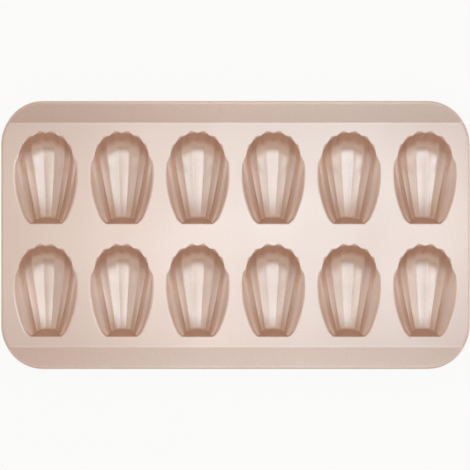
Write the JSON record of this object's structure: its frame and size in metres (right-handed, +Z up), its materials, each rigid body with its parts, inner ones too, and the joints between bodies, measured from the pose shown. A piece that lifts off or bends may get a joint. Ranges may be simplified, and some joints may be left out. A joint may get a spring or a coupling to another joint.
{
  "type": "shell cake pan",
  "caption": "Shallow coated steel baking pan with two rows of fluted shell moulds, upturned grip bands along the long sides and a curled, wire-stiffened edge.",
  "frame": {"origin": "middle of the pan's box, on the surface that the moulds stand on", "axes": "+X along the rows of moulds, +Y towards the fan ends of the shells, +Z up out of the moulds"},
  "size_m": [0.39, 0.222, 0.0191],
  "materials": {
    "coated_deck": "satin champagne non-stick coating on sheet steel",
    "coated_mould": "satin champagne non-stick coating on drawn sheet steel",
    "wire": "bare drawn steel wire, hidden inside the curl"
  },
  "bodies": {
    "root": {"deck_sheet": "coated_deck", "rear_mould_1": "coated_mould", "rear_mould_2": "coated_mould", "rear_mould_3": "coated_mould", "rear_mould_4": "coated_mould", "rear_mould_5": "coated_mould", "rear_mould_6": "coated_mould", "front_mould_1": "coated_mould", "front_mould_2": "coated_mould", "front_mould_3": "coated_mould", "front_mould_4": "coated_mould", "front_mould_5": "coated_mould", "front_mould_6": "coated_mould", "rim_wire": "wire"}
  },
  "joints": []
}
